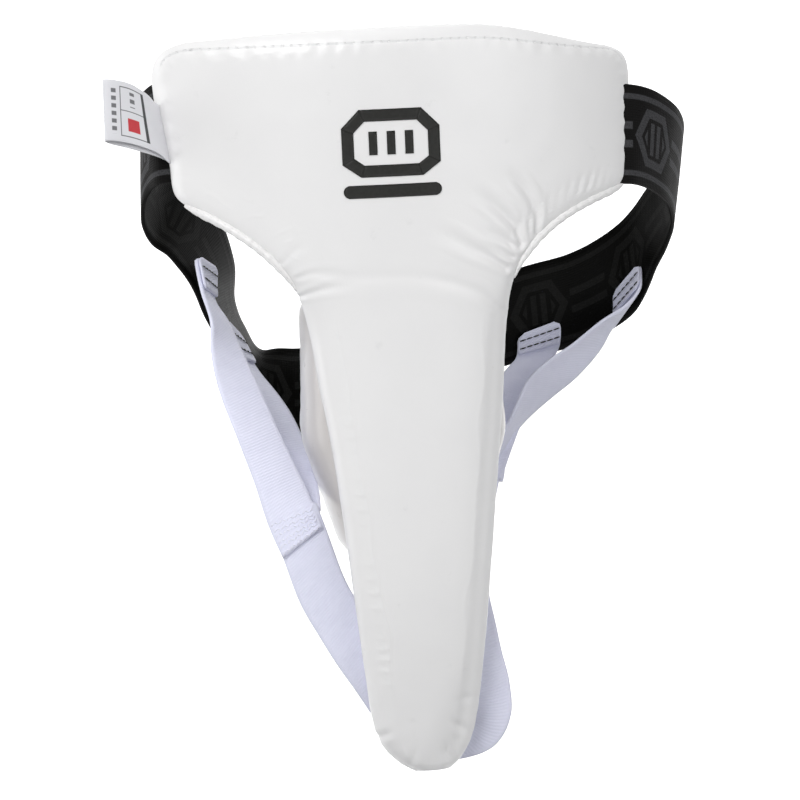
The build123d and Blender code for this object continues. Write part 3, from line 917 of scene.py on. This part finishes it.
def buildBadge():
    mark = {
        "centre": (-5.5, -1.0), "line": 4.6, "proud": 0.16,
        "frame": ((-19, 6), (-12, 13), (12, 13), (19, 6), (19, -8), (12, -13), (-12, -13), (-19, -8)),
        "bars": (-7.0, 0.0, 7.0), "barSize": (3.2, 9.0), "under": (38.0, 5.0, -18.5),
    }
    surface = BVHTree.FromObject(cover, bpy.context.evaluated_depsgraph_get())
    centreX, centreZ = mark["centre"]
    points, faces = [], []

    def patch(rows):
        # rows of (x, z), all the same length, laid on the cover
        first, width = len(points), len(rows[0])
        for row in rows:
            points.extend(drape(surface, centreX + x, centreZ + z, mark["proud"]) for x, z in row)
        faces.extend(sheetFaces(first, len(rows), width))

    corners = [Vector(c) for c in mark["frame"]]
    count = len(corners)
    inner = []
    for k, corner in enumerate(corners):
        a = (corner - corners[k - 1]).normalized()
        b = (corners[(k + 1) % count] - corner).normalized()
        inward = (Vector((a.y, -a.x)) + Vector((b.y, -b.x))).normalized()
        inner.append(corner + inward * (mark["line"] / inward.dot(Vector((a.y, -a.x)))))
    for k in range(count):
        start, end = corners[k], corners[(k + 1) % count]
        startIn, endIn = inner[k], inner[(k + 1) % count]
        pieces = max(2, int((end - start).length / 1.2))
        shares = np.linspace(0, 1, pieces + 1)
        sides = [(start.lerp(end, t), startIn.lerp(endIn, t)) for t in shares]
        patch([[tuple(outer.lerp(inside, s)) for outer, inside in sides] for s in np.linspace(0, 1, 5)])
    width, height = mark["barSize"]
    for x in mark["bars"]:
        reaches = [x + width * (t - 0.5) for t in np.linspace(0, 1, 4)]
        patch([[(reach, height * (0.5 - s)) for reach in reaches] for s in np.linspace(0, 1, 9)])
    width, height, z = mark["under"]
    rows = []
    for s in np.linspace(-1, 1, 9):
        reach = width / 2 - height / 2 * (1 - math.sqrt(max(0.0, 1 - (0.98 * s) ** 2)))
        rows.append([(reach * t, z - s * height / 2) for t in np.linspace(-1, 1, 33)])
    patch(rows)
    badge = makePiece("frontBadge", points, faces, [printInk])
    thicken(badge, 0.3, 0.0)
    return badge


rolls = buildSeamRolls()
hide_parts("lower_seam_rolls")
badge = buildBadge()
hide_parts("front_badge")
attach(badge, "front_panel")
for piece in (cover, backLining, rolls):
    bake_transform(piece)
print("seam rolls and badge ready")


# the cup pocket, its rim pad and its lining; rows of y and share of the outline
cup = {
    "centre": -114.0, "padInner": 0.77, "padMiddle": -7.2, "padHeight": 3.2,
    "half": (
        (0, 53), (26, 52.5), (35.5, 50.5), (38.6, 45), (39.4, 30), (40, 10), (40.6, -6), (37.4, -18),
        (31.6, -37), (27, -50), (20.5, -57), (10, -60), (0, -60.5),
    ),
    "pocket": (
        (-8.0, 0.975), (-10.4, 1.0), (-14, 1.005), (-20, 0.995), (-27, 0.965), (-33, 0.90), (-37.5, 0.80),
        (-40.6, 0.66), (-42.2, 0.47), (-42.7, 0.24),
    ),
    "lining": (
        (-8.5, 0.80), (-12, 0.86), (-18, 0.84), (-24, 0.775), (-29, 0.685), (-32.5, 0.56), (-34.6, 0.40),
        (-35.3, 0.2),
    ),
    "around": 96,
    "padSwell": {
        "pressure": 4.0, "stretch": 10.0, "shear": 4.0, "bend": 0.6, "shrink": 0.0, "frames": 20, "cap": 1.6,
    },
}


def eggLoop(share):
    half = cup["half"]
    loop = list(half) + [(-x, z) for x, z in reversed(half[1:-1])]
    line = curveThrough(loop, 12, closed=True, keys=2)
    line = np.vstack([line, line[:1]])
    even = evenly(line, 1.0, keys=2)[0]
    picks = np.linspace(0, len(even) - 1, cup["around"] + 1)[:-1]
    rows = np.array([np.interp(picks, range(len(even)), even[:, k]) for k in (0, 1)]).T
    return rows * share


def bowl(name, layers, material, shape):
    dense = curveThrough(layers, 4, keys=2)
    points = []
    for y, share in dense:
        for x, z in eggLoop(share):
            points.append(shape(x, y, cup["centre"] + z, share))
    faces = capFaces(0, len(dense), cup["around"])[1:] + ringFaces(0, len(dense), cup["around"])
    return makePiece(name, points, faces, [material])


def pocketShape(x, y, z, share):
    # gathered at the rim seam, smooth over the front
    angle = math.atan2(z - cup["centre"], x)
    gather = 0.12 * math.cos(34 * angle + 2.2 * math.sin(5 * angle)) * float(between(-y, 8, 17, 3))
    soft = 0.3 * noise.noise(Vector((x, y, z)) / 13.0)
    grow = 1 + (gather + soft) / 40.0
    return x * grow, y, cup["centre"] + (z - cup["centre"]) * grow


def liningShape(x, y, z, share):
    # quilted in diamonds
    quilt = abs(math.sin((x + z) * math.pi / 13.0)) * abs(math.sin((x - z) * math.pi / 13.0))
    return x, y + 0.9 * quilt * float(ease((0.8 - share) / 0.15)), z


def buildRimPad():
    around, section = cup["around"], 16
    points = []
    outer, inner = eggLoop(1.0), eggLoop(cup["padInner"])
    for k in range(around):
        for s in range(section):
            turn = 2 * math.pi * s / section
            across, up = (math.copysign(abs(way) ** 0.8, way) for way in (math.cos(turn), math.sin(turn)))
            x, z = inner[k] + (outer[k] - inner[k]) * (0.5 + 0.5 * across)
            y = cup["padMiddle"] + cup["padHeight"] * up
            points.append((x, y, cup["centre"] + z))
    faces = [tuple(corner % len(points) for corner in face) for face in ringFaces(0, around + 1, section)]
    pad = makePiece("rimPad", points, faces, [plainVinyl])
    pinned = [1.0 if i % section in (0, section // 2) else 0.0 for i in range(len(points))]
    swell(pad, pinned, cup["padSwell"])
    subdivide(pad, 1)
    places, normals = placesOf(pad), normalsOf(pad)
    angle = np.arctan2(places[:, 2] - cup["centre"], places[:, 0])
    ripple = 0.3 * np.cos(40 * angle + 2 * np.sin(7 * angle)) + 0.3 * noiseAt(places, 9.0, 6)
    moveTo(pad, places + normals * ripple[:, None])
    return pad


pocket = bowl("cupPocket", cup["pocket"], pocketVinyl, pocketShape)
thicken(pocket, 0.7, -1.0)
# painted shade: how much shade-grey is painted on the pocket, rising towards the tongue
storeValues(pocket, "inward", 0.9 * ease((-14.5 - placesOf(pocket)[:, 1]) / 21))
innerLining = bowl("cupLining", cup["lining"], lining, liningShape)
thicken(innerLining, 0.6, 0.0)
rimPad = buildRimPad()
for piece, node, slot in (
    (pocket, "cup_pocket", "white_vinyl"),
    (innerLining, "cup_lining", "white_lining"),
    (rimPad, "cup_rim_pad", "white_vinyl"),
):
    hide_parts(node)
    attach(piece, "tongue")
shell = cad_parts["cup_shell"]
shell.data.materials.clear()
shell.data.materials.append(cupPlastic)
print("cup pocket, pad and lining ready")


def tapeLine(stations, spacing):
    rows = [(*centre, *across) for centre, across in stations]
    line, run = evenly(curveThrough(rows), spacing)
    centres, acrosses = line[:, :3], unit(line[:, 3:])
    forward = unit(np.gradient(centres, axis=0))
    return centres, acrosses, forward, unit(np.cross(forward, acrosses)), run


def tape(name, stations, width, thickness, materials, shape, spacing=1.5):
    # shape has: roundStart, roundEnd (mm), cupping and ripple (mm), seed
    centres, acrosses, forward, out, run = tapeLine(stations, spacing)
    fractions = (-0.97, -0.84, -0.6, -0.3, 0.0, 0.3, 0.6, 0.84, 0.97)
    section = [(-1.0, 0.0)] + [(f, 1.0) for f in fractions]
    section += [(-f, -side) for f, side in section]
    points, flat = [], []
    for centre, across, normal, place in zip(centres, acrosses, out, run):
        narrow = 1.0
        for key, away in (("roundStart", place), ("roundEnd", run[-1] - place)):
            reach = shape.get(key, 0.0)
            if reach and away < reach:
                corner = 1 - math.sqrt(max(0.0, 1 - (1 - away / reach) ** 2))
                narrow = min(narrow, 1 - corner * reach / (width / 2))
        for f, side in section:
            spread = f * narrow * width / 2
            soft = noise.noise(Vector((place / 15.0, f * 0.8, shape.get("seed", 0.0) * 4.1)))
            rise = side * thickness / 2 + shape.get("cupping", 0.0) * (1 - f * f)
            points.append(centre + across * spread + normal * (rise + shape.get("ripple", 0.0) * soft))
            flat.append((place * mm, spread * mm))
    rings, around = len(centres), len(section)
    faces = capFaces(0, rings, around) + ringFaces(0, rings, around)
    sides = [0 if k < around // 2 else len(materials) - 1 for k in range(around)]
    slots = [0, 0] + sides * (rings - 1)
    return makePiece(name, points, faces, materials, slots, flat)


def tapeFrame(stations, place):
    # centre, across, forward and face normal at a fractional station number
    rows = curveThrough([(*centre, *across) for centre, across in stations], 20)
    k = min(int(place * 20), len(rows) - 2)
    forward = unit(rows[k + 1, :3] - rows[max(k - 1, 0), :3])
    across = unit(rows[k, 3:])
    return rows[k, :3], across, forward, unit(np.cross(forward, across))


leftBandRoute = (
    ((-86, -26.5, 5.5), (0, 0, 1)),
    ((-92, -26, 5.5), (0, 0, 1)),
    ((-97.6, -16, 1.5), (0, 0.02, 1)),
    ((-99, -1, -10.5), (0.08, 0.26, 0.95)),
    ((-93, 11, -24), (0.21, 0.58, 0.78)),
    ((-80, 19, -37), (0.50, 0.72, 0.46)),
    ((-72, 27, -55), (0.50, 0.84, 0.16)),
    ((-69, 35, -71), (0.36, 0.93, 0.07)),
    ((-63, 43, -86), (0.25, 0.94, 0.21)),
    ((-53, 50, -104), (0.12, 0.82, 0.50)),
    ((-40, 56, -112), (0.06, 0.30, 0.95)),
    ((-20, 57, -111), (0, 0, 1)),
    ((10, 57, -101), (0, 0, 1)),
    ((38, 57, -92), (0, 0, 1)),
)
rightBandRoute = (
    ((88, -30, -3.5), (0.02, 0, 1)),
    ((95.5, -27.5, -4), (0.03, 0, 1)),
    ((103, -22, -6), (0.07, -0.05, 1)),
    ((112.5, -12, -11), (0.10, -0.05, 1)),
    ((120, 1, -18), (0.13, -0.05, 1)),
    ((123, 13, -27), (0.13, -0.05, 1)),
    ((121.5, 24, -37), (0.12, 0, 1)),
    ((117.5, 33, -46), (0.05, 0.05, 1)),
    ((108.5, 46, -64), (-0.10, 0.05, 1)),
    ((98.5, 51, -72), (-0.13, 0, 1)),
    ((85, 53, -78), (-0.10, 0, 1)),
    ((66, 53, -82), (-0.05, 0, 1)),
    ((37, 53, -90), (0, 0, 1)),
    ((10, 53, -99), (0, 0, 1)),
    ((-13, 53, -106), (0, 0, 1)),
)
band = {"width": 40.0, "thickness": 1.6, "patchWidth": 36.0, "patchThickness": 1.0}
strap = {"width": 20.0, "thickness": 1.3}
softTape = {"ripple": 0.35, "cupping": 0.4}
sewing = {
    "tab": {"shares": (0.32, 0.66), "count": 6, "spacing": 3.1, "length": 2.7},
    "tip": {"shares": (-1.7, -1.35, -1.1), "count": 6, "spacing": 2.8, "length": 2.3},
    "fork": {"rows": 6, "count": 11, "spacing": 1.65, "slant": 0.9, "length": 2.0},
    "blackRadius": 0.32, "whiteRadius": 0.26,
}


def buildBands():
    # seen along its run the left band turns its inner face to the wearer's side first
    bands = {
        "left": tape("leftBand", leftBandRoute, band["width"], band["thickness"], [bandInner, bandOuter],
                     {"ripple": 0.5, "seed": 1, "roundEnd": 4.0}, 1.6),
        "right": tape("rightBand", rightBandRoute, band["width"], band["thickness"], [bandOuter, bandInner],
                      {"ripple": 0.5, "seed": 2, "roundEnd": 4.0}, 1.6),
    }
    for side, piece in bands.items():
        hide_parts(side + "_band")
        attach(piece, "band_" + side)
    lift = band["thickness"] / 2 + band["patchThickness"] / 2 + 0.1
    for name, node, body, y, stations in (
        ("hookPatch", "hook_patch", "band_left", 57 - lift, ((-8, -106.4), (10, -101), (36, -92.6))),
        ("loopPatch", "loop_patch", "band_right", 53 + lift, ((-11, -105.4), (10, -99), (35, -90.6))),
    ):
        route = [((x, y, z), (0, 0, 1)) for x, z in stations]
        patch = tape(name, route, band["patchWidth"], band["patchThickness"], [gripTape],
                     {"roundStart": 3.0, "roundEnd": 3.0})
        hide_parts(node)
        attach(patch, body)


def stitchBars(name, marks, material, radius):
    # one small sagging bead of thread per mark: (place, direction, normal, length)
    points, faces = [], []
    around, lengthwise = 6, 6
    for place, direction, normal, length in marks:
        side = unit(np.cross(direction, normal))
        first = len(points)
        for j in range(lengthwise + 1):
            t = j / lengthwise
            fat = radius * (0.25 + 0.75 * math.sin(math.pi * min(max(t, 0.06), 0.94)) ** 0.6)
            sink = -radius * 1.1 * (2 * t - 1) ** 2
            for k in range(around):
                turn = 2 * math.pi * k / around
                ringPoint = side * (math.cos(turn) * fat) + normal * (math.sin(turn) * fat + sink)
                points.append(place + direction * ((t - 0.5) * length) + ringPoint)
        faces += capFaces(first, lengthwise + 1, around) + ringFaces(first, lengthwise + 1, around)
    return makePiece(name, points, faces, [material])


def rowOfMarks(origin, row, normal, seam):
    shifts = [(c - (seam["count"] - 1) / 2) * seam["spacing"] for c in range(seam["count"])]
    return [(origin + row * shift, row, normal, seam["length"]) for shift in shifts]


straps = {
    "leftFront": {
        "route": (
            ((-75.5, 16, -50), (0.43, 0.82, -0.36)), ((-75, 11, -63), (0.29, 0.91, -0.31)),
            ((-71, 5, -74), (0.42, 0.89, -0.15)), ((-69.5, -2, -84), (0.65, 0.75, -0.11)),
            ((-66.2, -11.5, -98), (0.83, 0.55, -0.10)), ((-59.4, -20.5, -118), (0.92, 0.38, -0.11)),
            ((-52.5, -27.5, -137), (0.99, 0.15, -0.02)), ((-48.6, -31.9, -150), (0.93, 0.07, 0.28)),
            ((-45, -34.4, -160), (0.82, 0.05, 0.57)),
        ),
        "nodes": ("left_front_tab", "left_front_arm"), "body": "band_left", "seed": 3, "face": 1,
    },
    "leftRear": {
        "route": (
            ((-64.5, 41, -81), (0.37, 0.80, -0.48)), ((-61, 32, -94.5), (0.58, 0.76, -0.29)),
            ((-54.5, 17, -107), (0.80, 0.57, -0.20)), ((-48.6, 3, -121), (0.92, 0.32, -0.24)),
            ((-46.2, -13, -137), (0.98, 0.11, -0.10)), ((-45.2, -28.6, -153), (0.88, 0.05, 0.46)),
        ),
        "nodes": ("left_rear_tab", "left_rear_arm"), "body": "band_left", "seed": 4, "face": 1,
    },
    "rightFront": {
        "route": (
            ((107.6, 44.3, -69), (-0.51, 0.49, -0.70)), ((107.0, 43.4, -80), (-0.42, 0.60, -0.66)),
            ((103.4, 42, -84.5), (-0.08, 0.86, -0.50)), ((97, 39.5, -88), (0.34, 0.88, -0.32)),
            ((87, 34, -96), (0.66, 0.69, -0.28)), ((74, 28, -105), (0.73, 0.52, -0.44)),
            ((64, 26, -112.5), (0.62, 0.64, -0.44)), ((57, 24, -120), (0.48, 0.82, -0.33)),
            ((50, 22, -129), (0.36, 0.90, -0.25)), ((42, 19.5, -140), (0.65, 0.74, -0.18)),
            ((36, 17.5, -149), (0.95, 0.2, -0.10)),
        ),
        "nodes": ("right_front_tab", "right_front_arm"), "body": "band_right", "seed": 5, "face": -1,
    },
    "rightRear": {
        "route": (
            ((69, 51, -89), (0.95, 0.05, 0.29)), ((68, 49, -99), (0.97, 0.06, 0.20)),
            ((62.5, 44.5, -105), (1, 0.07, 0.08)), ((57, 39, -111), (1, 0.09, 0)),
            ((49.5, 31, -121), (1, 0.09, -0.05)), ((42, 23.5, -134), (1, 0.09, -0.08)),
            ((35, 17.5, -148), (1, 0.05, -0.07)),
        ),
        "nodes": ("right_rear_tab", "right_rear_arm"), "body": "band_right", "seed": 6, "face": 1,
    },
}
stems = {
    "left": (
        ((-48.4, -30.8, -147), (0.95, 0.06, 0.30)), ((-44.2, -32.6, -160), (0.92, 0.05, 0.38)),
        ((-37.6, -34, -181), (0.90, 0, 0.42)), ((-31.6, -34.2, -193), (0.87, 0, 0.48)),
        ((-24.5, -34.6, -206), (0.85, 0, 0.50)), ((-17.4, -33.5, -217.5), (0.86, 0, 0.50)),
        ((-9.6, -30, -231), (0.86, 0, 0.50)), ((-2.5, -27.4, -242), (0.86, 0, 0.50)),
    ),
    "right": (
        ((34, 16.5, -146), (1, 0.02, -0.07)), ((31, 13.5, -156), (1, 0, -0.08)),
        ((27, 5.5, -167.5), (0.99, 0, -0.10)), ((23.5, -6, -178), (0.99, 0, -0.10)),
        ((22, -17, -188), (1, 0, -0.07)), ((23, -25.5, -200), (1, 0, 0)),
        ((24.8, -28, -211), (0.99, 0.05, -0.05)), ((27.4, -28.6, -224), (0.99, 0.03, -0.06)),
        ((28.2, -28, -235.4), (0.92, 0, -0.38)), ((24.6, -26.4, -243.4), (0.62, 0, -0.78)),
        ((16, -24.6, -246.4), (0.15, 0, -0.99)), ((5, -24, -246.4), (0, 0, -1)),
    ),
}


def buildStraps():
    marks = {"band_left": [], "band_right": []}
    for name, piece in straps.items():
        route = piece["route"]
        body = tape(name + "Strap", route, strap["width"], strap["thickness"], [strapTape],
                    {**softTape, "seed": piece["seed"], "roundStart": 3.5})
        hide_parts(*piece["nodes"])
        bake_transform(body)
        # folded end, sewn down over the first layer on the wearer's side
        face = piece["face"]
        lift = face * (strap["thickness"] + 0.25)
        layers = [tapeFrame(route, share) for share in (0.0, 0.5, 0.98)]
        folded = [(centre + normal * lift, across) for centre, across, forward, normal in layers]
        fold = tape(name + "Fold", folded, strap["width"] * 0.99, strap["thickness"] * 0.8, [strapTape],
                    {"roundStart": 3.0, "roundEnd": 1.0, "seed": piece["seed"] + 10})
        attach(fold, piece["body"])
        for share in sewing["tab"]["shares"]:
            centre, across, forward, normal = tapeFrame(route, share)
            for side in (1, -1):
                rise = 0.75 * strap["thickness"] + 0.1 + (abs(lift) if side == face else 0)
                surface = centre + normal * side * rise
                marks[piece["body"]] += rowOfMarks(surface, across, normal * side, sewing["tab"])
    for side in ("left", "right"):
        threads = stitchBars(side + "TabThreads", marks["band_" + side], blackThread, sewing["blackRadius"])
        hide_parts(side + "_tab_stitches")
        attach(threads, "band_" + side)


def buildStems():
    for side, seed in (("left", 7), ("right", 8)):
        route = stems[side]
        stem = tape(side + "Stem", route, strap["width"] + 0.6, strap["thickness"], [strapTape],
                    {**softTape, "seed": seed, "roundStart": 1.5, "roundEnd": 2.0})
        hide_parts(side + "_stem")
        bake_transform(stem)
        marks, fork = [], sewing["fork"]
        joint = straps[side + "Front"]["route"]
        for share in np.linspace(len(joint) - 1.97, len(joint) - 1.1, fork["rows"]):
            centre, across, forward, normal = tapeFrame(joint, share)
            for face in (1, -1):
                surface = centre + normal * face * (strap["thickness"] / 2 + 0.32)
                for c in range(fork["count"]):
                    slant = unit(across + forward * (fork["slant"] if c % 2 else -fork["slant"]))
                    place = surface + across * ((c - fork["count"] // 2) * fork["spacing"])
                    marks.append((place, slant, normal * face, fork["length"]))
        threads = stitchBars(side + "ForkThreads", marks, whiteThread, sewing["whiteRadius"])
        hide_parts(side + "_joint_stitches")
        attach(threads, "front_panel")
    marks = []
    for route in (stems["left"], stems["right"]):
        for share in sewing["tip"]["shares"]:
            centre, across, forward, normal = tapeFrame(route, len(route) + share)
            for face in (1, -1):
                surface = centre + normal * face * (strap["thickness"] / 2 + 0.2)
                marks += rowOfMarks(surface, across, normal * face, sewing["tip"])
    tacks = stitchBars("tipThreads", marks, whiteThread, sewing["whiteRadius"])
    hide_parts("tip_stitches")
    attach(tacks, "tongue")


buildBands()
buildStraps()
buildStems()
print("elastic and straps ready")


# the folded size label
tag = {
    "front": (
        ((-89.6, -27.6, 4.2), (-0.16, 0, 1)), ((-91.4, -30.2, 5.3), (-0.16, 0, 1)),
        ((-94.4, -36, 8.6), (-0.15, 0, 1)), ((-98.6, -41.3, 11.6), (-0.11, 0, 1)),
        ((-105.2, -45.6, 14.6), (0, 0, 1)), ((-113, -49, 16.2), (0.02, 0, 1)),
    ),
    "rear": (
        ((-114.4, -48.5, 16.1), (0.02, 0, 1)), ((-113, -46.9, 15.2), (0.03, 0, 1)),
        ((-104.4, -43, 12.4), (0.02, 0, 1)), ((-98, -39, 9.6), (-0.08, 0, 1)),
        ((-94, -34.2, 7.4), (-0.14, 0, 1)), ((-89.6, -26.4, 4.2), (-0.16, 0, 1)),
    ),
    "width": 23.6, "thickness": 0.3, "spacing": 0.8,
}


def buildLabel():
    # the printed side reads from the fold, so the route starts there
    loop = list(reversed(tag["rear"])) + list(reversed(tag["front"]))
    piece = tape("sizeLabel", loop, tag["width"], tag["thickness"], [labelTape],
                 {"ripple": 0.25, "seed": 9}, tag["spacing"])
    layer = piece.data.uv_layers["tape"]
    flat = np.zeros(len(layer.data) * 2)
    layer.data.foreach_get("uv", flat)
    flat = flat.reshape(-1, 2)
    line, run = evenly(curveThrough([(*c, *a) for c, a in reversed(tag["rear"])]), tag["spacing"])
    flat[:, 0] -= run[-1] * mm
    layer.data.foreach_set("uv", flat.ravel())
    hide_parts("size_label")
    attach(piece, "label")


buildLabel()
print("label ready")
